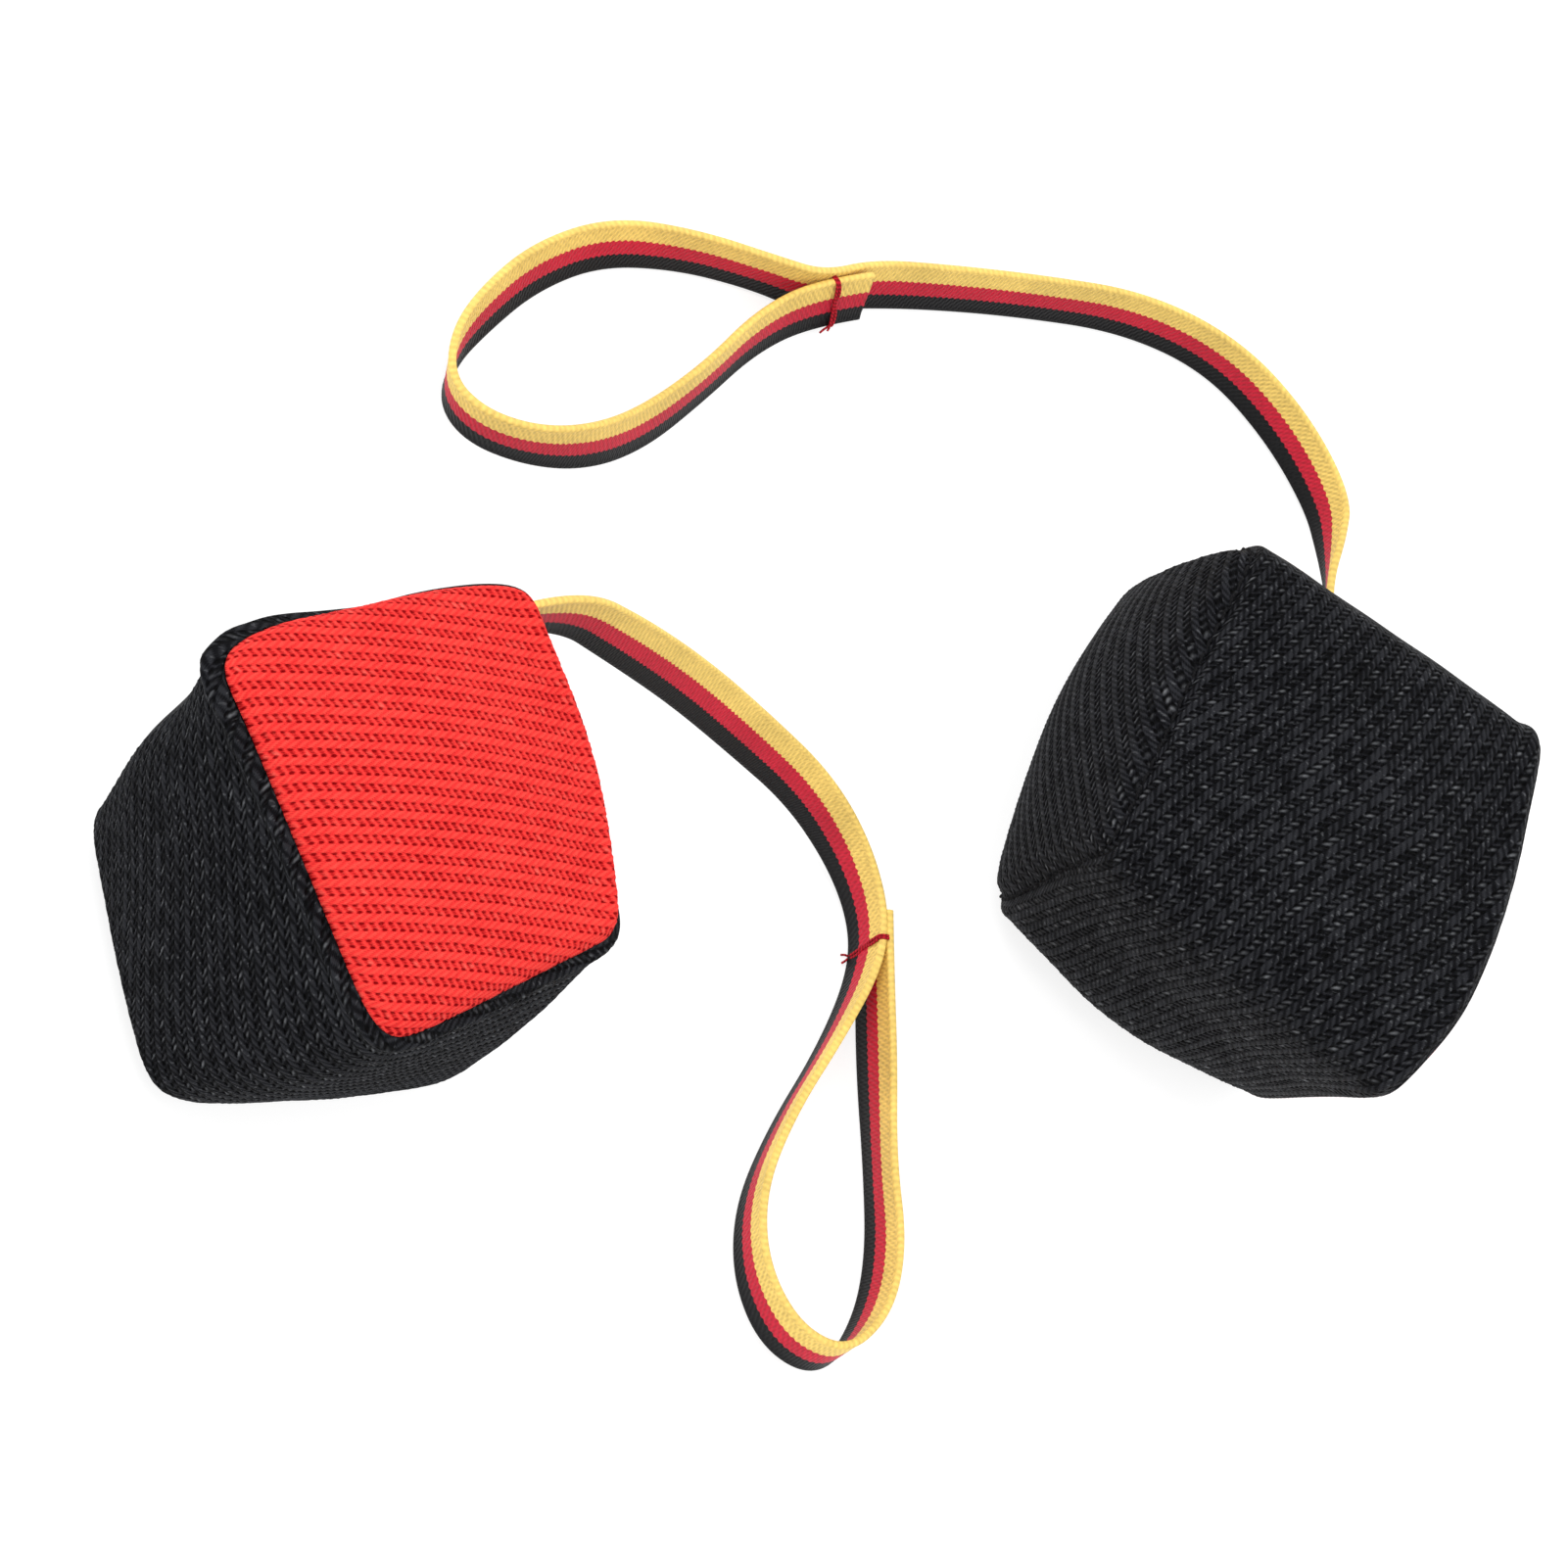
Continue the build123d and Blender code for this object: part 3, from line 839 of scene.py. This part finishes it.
def make_strip(bag, columns, slopes, row, rises, pinches):
    """The cloth that goes round the bag's four sides, turned in at both seams.

    A side has its own number of columns and slope of the rows. The rises are the heights of the puckered
    ridges, at the four corners and the four sides' middles, by the red seam and by the black seam, and the
    pinches are the depths of those two seams.
    """
    sides = []
    for side, number in enumerate(columns):
        sides.append(np.linspace(side, side + 1, int(number * DENSITY), endpoint=False))
    turns = np.concatenate(sides)
    level = np.linspace(-1, 1, int(171 * DENSITY))[:, None]
    base = bag.put(side_points(*square(turns), level))
    normal, turn = grid_normals(base, True, bag.middle)
    along, across = strip_weave(base, turns, level, slopes, row)
    depth = (1 - np.abs(level)) * HALF
    red_rise, black_rise = (np.interp(turns, np.arange(8) / 2, rise, period=4) for rise in rises)
    rise = np.where(level > 0, red_rise, black_rise)
    stand, sink = seam_shape(base, depth, rise, np.where(level > 0, *pinches), seed=11)
    stand = stand + 0.35 * uneven(base, 22.0, seed=5) * np.minimum(depth / 6, 1)
    # The rib is in the mesh only where the columns are close enough together to show it
    fine = smooth_step((0.62 - np.gradient(turns) * 2 * HALF) / 0.25)
    stand = stand + rib_relief(along, across) * fine * np.minimum(0.2 + depth / 8, 1)
    skin = base + normal * stand[..., None] + bag.inward(base) * sink[..., None]
    black_hem, red_hem = ([edge + bag.inward(edge) * deep for deep in HEM] for edge in (skin[0], skin[-1]))
    points = np.stack([*black_hem[::-1], *skin, *red_hem])
    lift(points, FLOOR_GAP)
    near, far = HEM
    along = np.vstack([along[:1], along[:1], along, along[-1:], along[-1:]])
    across = np.vstack([across[:1] - far, across[:1] - near, across, across[-1:] + near, across[-1:] + far])
    faces = grid_faces(points.shape[0], points.shape[1], around=True)
    if turn < 0:
        faces = [face[::-1] for face in faces]
    marks = {"s": along, "t": across}
    strip = new_object(f"cloth_strip_{bag.letter}", points.reshape(-1, 3), faces, marks, BLACK)
    bag.own(strip, "strip", "black_cloth")


def make_cap(bag, colour, count, bulge, flank, grain, lip, pinch):
    """A square cap of count by count points, crowned and turned in at its seam.

    The bulge and the flank set the crown's height and steepness. The lip is the height of a ridge along the
    cap's own +X edge, and the pinch is the seam's depth.
    """
    side = 1 if colour == "red" else -1
    count = int(count * DENSITY)
    own, far = cap_points(side, count, bulge, flank)
    base = bag.put(own)
    normal, turn = grid_normals(base, False, bag.middle)
    along, across = cap_weave(base, side, grain)
    depth = (1 - far) * HALF
    rise = lip * smooth_step((own[..., 0] - 0.5) / 0.4)
    stand, sink = seam_shape(base, depth, rise, pinch, seed=12)
    stand = stand + 0.30 * uneven(base, 20.0, seed=6) * np.minimum(depth / 6, 1)
    # A coarser grid can't show the rib
    if count > 120:
        stand = stand + rib_relief(along, across) * np.minimum(0.35 + depth / 4, 1)
    skin = base + normal * stand[..., None] + bag.inward(base) * sink[..., None]
    lift(skin, FLOOR_GAP)
    points, along, across = skin.reshape(-1, 3), along.ravel(), across.ravel()
    faces = grid_faces(count, count)
    number = np.arange(count * count).reshape(count, count)
    rim = np.concatenate([number[0, :-1], number[:-1, -1], number[-1, :0:-1], number[:0:-1, 0]])
    before = rim
    for deep in HEM:
        inner = points[rim] + bag.inward(points[rim]) * deep
        lift(inner, FLOOR_GAP)
        after = np.arange(len(points), len(points) + len(rim))
        points = np.vstack([points, inner])
        along, across = np.concatenate([along, along[rim]]), np.concatenate([across, across[rim] + deep])
        faces += np.stack([np.roll(before, -1), before, after, np.roll(after, -1)], 1).tolist()
        before = after
    if turn < 0:
        faces = [face[::-1] for face in faces]
    material = RED if colour == "red" else BLACK
    marks = {"s": along, "t": across}
    cap = new_object(f"cloth_cap_{colour}_{bag.letter}", points, faces, marks, material)
    bag.own(cap, f"cap_{colour}", f"{colour}_cloth")


def make_seam(bag, seam, points, depth, stitch):
    """A seam's thread, which lies a depth inside own-frame points and dips a little at each stitch."""
    line = bag.put(points)
    dip = depth + stitch * np.cos(TAU * np.arange(len(line)) / 4)
    line = line + bag.inward(line) * dip[:, None]
    lift(line, 0.6)
    piece = tube(f"seam_thread_{seam}_{bag.letter}", line, radius=0.32, material=BLACK_THREAD)
    bag.own(piece, f"seam_{seam}", "seam_thread")


def make_seams(bag):
    """The thread of the three seams, down in the turned-in edges."""
    x, y = square(np.linspace(0, 4, 321))
    make_seam(bag, "red", side_points(x, y, 1.0), depth=2.0, stitch=0.35)
    make_seam(bag, "black", side_points(x, y, -1.0), depth=2.0, stitch=0.35)
    make_seam(bag, "strip", side_points(1.0, 1.0, np.linspace(-0.97, 0.97, 81)), depth=1.3, stitch=0.3)


def make_filling(bag):
    """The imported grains, a little smaller than the cloth all round."""
    rows, columns = 60, 96
    sharp = 7
    fullness = 0.92
    down = np.linspace(0.02, math.pi - 0.02, rows)[:, None]
    turn = np.linspace(0, TAU, columns, endpoint=False)[None, :]
    ball = np.stack([np.sin(down) * np.cos(turn), np.sin(down) * np.sin(turn), np.cos(down) + 0 * turn], -1)
    cube = ball / np.sum(np.abs(ball) ** sharp, axis=-1, keepdims=True) ** (1 / sharp)
    base = bag.put(cube * fullness)
    lift(base, 1.6)
    faces = [face[::-1] for face in tube_faces(rows, columns)]
    filling = new_object(f"grain_filling_{bag.letter}", base.reshape(-1, 3), faces, {}, GRAINS)
    bag.own(filling, "filling", "filling")


# ---------------------------------------------------------------- the scene
# A cloth's three colours are painted shade in its pits, its own colour, and painted light on its float tops;
# its glint colour is a painted highlight
RED = cloth(
    "red_ribbed_cloth",
    [(0.30, 0.0, 0.002), (0.82, 0.032, 0.030), (0.88, 0.065, 0.050)],
    glint=(0.92, 0.13, 0.10),
    roughness=0.75,
    patchy=0.1,
)
BLACK = cloth(
    "black_ribbed_cloth",
    [(0.0005, 0.0005, 0.0007), (0.0030, 0.0032, 0.0045), (0.0200, 0.0208, 0.0245)],
    glint=(0.15, 0.155, 0.165),
    roughness=0.6,
    patchy=0.22,
)
RIBBON = ribbon_cloth()
BLACK_THREAD = thread("black_seam_thread", (0.001, 0.001, 0.002), (0.006, 0.006, 0.007))
RED_THREAD = thread("red_tack_thread", (0.22, 0.004, 0.008), (0.55, 0.012, 0.03))
GRAINS = grains()

make_camera()
make_floor()
make_studio()

# A tack has a middle, and directions over the ribbon's width, out of its face and along the tails
make_ribbon(
    "a",
    ROUTE_A,
    fold=(19.6, -16.0, 5.3),
    tack_at=((20.3, -13.0, 5.3), (0.0, 0.16, 0.987), (-0.98, 0.2, 0.0), (-0.9, -0.2, 0.0)),
)
make_ribbon(
    "b",
    ROUTE_B,
    fold=(34.5, 102.0, 5.0),
    tack_at=((37.2, 99.5, 5.3), (-0.25, 0.556, 0.775), (0.0, -0.80, 0.60), (-0.6, -0.5, -0.1)),
)

BAG_A = Bag("a", CORNERS_A, PUSHES_A)
make_strip(
    BAG_A,
    columns=(50, 180, 180, 80),
    slopes=(-0.3, -0.53, -0.1, -0.2),
    row=2.7,
    rises=((0.8, -0.5, 2.6, 1.2, 1.1, 0.7, 0.7, -1.0), (0.2,) * 8),
    pinches=(1.1, 1.1),
)
make_cap(BAG_A, "red", count=191, bulge=0.27, flank=0.5, grain=-18, lip=0.9, pinch=1.1)
make_cap(BAG_A, "black", count=70, bulge=0.2, flank=0.6, grain=0, lip=0.0, pinch=1.1)
make_seams(BAG_A)
make_filling(BAG_A)

BAG_B = Bag("b", CORNERS_B, PUSHES_B)
make_strip(
    BAG_B,
    columns=(60, 180, 180, 50),
    slopes=(-0.1, -0.49, -0.04, -0.1),
    row=2.85,
    rises=((0.2, 0.2, 1.0, 1.5, 1.0, 0.2, 0.2, 0.2), (0.1, 0.1, 0.1, 0.1, 0.2, 0.2, 0.2, 0.1)),
    pinches=(0.4, 1.9),
)
make_cap(BAG_B, "red", count=90, bulge=0.1, flank=1.0, grain=0, lip=0.0, pinch=0.4)
make_cap(BAG_B, "black", count=191, bulge=0.2, flank=0.55, grain=54, lip=0.0, pinch=1.9)
make_seams(BAG_B)
make_filling(BAG_B)
